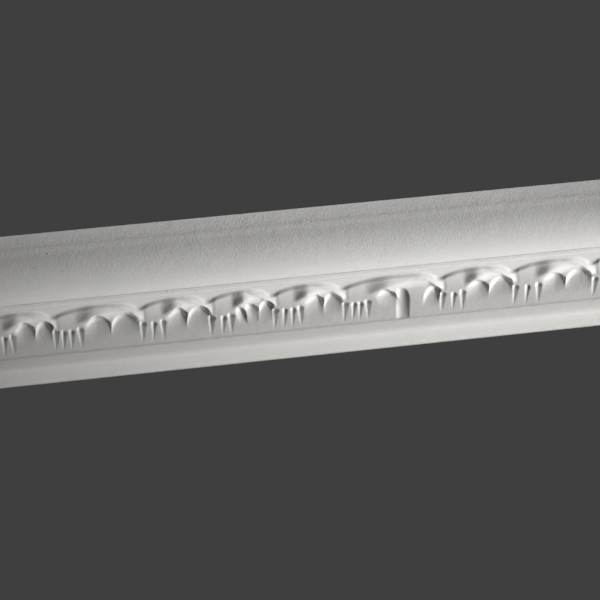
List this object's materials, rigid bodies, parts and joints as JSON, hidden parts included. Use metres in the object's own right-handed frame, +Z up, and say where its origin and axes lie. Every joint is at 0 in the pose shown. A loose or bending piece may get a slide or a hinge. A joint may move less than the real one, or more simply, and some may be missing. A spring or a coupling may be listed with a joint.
{
  "type": "cornice",
  "caption": "Plaster ceiling cornice, a square-cut length of concave cove with a band of carved leaves, drops and lobes above a plain wall fillet.",
  "frame": {"origin": "middle of the flat back strip that beds on the wall, half way along the run", "axes": "+X along the run, to the right for a viewer facing the wall; +Y into the wall, so the room is on -Y; +Z up to the ceiling"},
  "size_m": [0.55, 0.1132, 0.0755],
  "materials": {
    "painted_plaster": "old matt white paint over cast plaster"
  },
  "bodies": {
    "root": {"plaster_cornice": "painted_plaster"}
  },
  "joints": []
}
